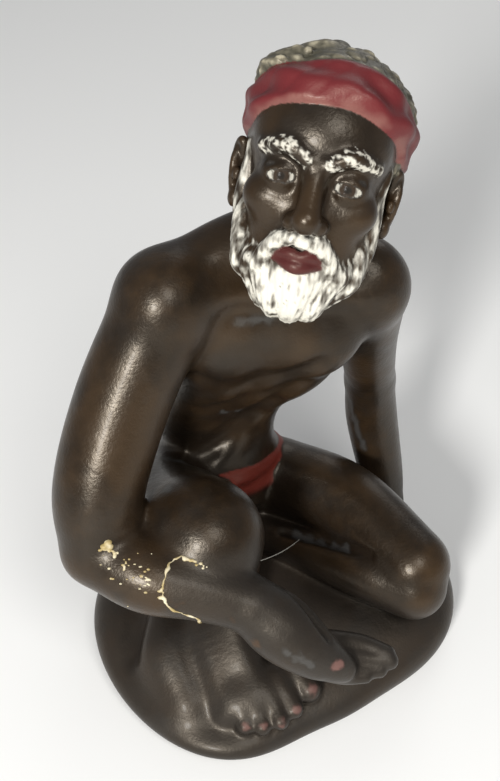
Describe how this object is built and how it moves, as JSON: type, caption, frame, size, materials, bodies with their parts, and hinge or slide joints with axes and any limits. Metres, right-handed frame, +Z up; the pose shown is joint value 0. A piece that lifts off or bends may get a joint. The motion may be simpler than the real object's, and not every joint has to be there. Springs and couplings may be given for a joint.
{
  "type": "pottery figurine",
  "caption": "Glazed pottery figurine of a bearded elder with a headband, seated on a rock with the right knee raised and the right forearm across it.",
  "frame": {"origin": "centre of the rock's flat underside", "axes": "+Z up through the figure; the figure looks along -Y, and its right shoulder is on the -X side"},
  "size_m": [0.1055, 0.0944, 0.1717],
  "materials": {
    "glaze": "dark brown satin glaze with a red headband and loincloth, grey-white hair and pink nails"
  },
  "bodies": {
    "root": {"figurine": "glaze"}
  },
  "joints": []
}
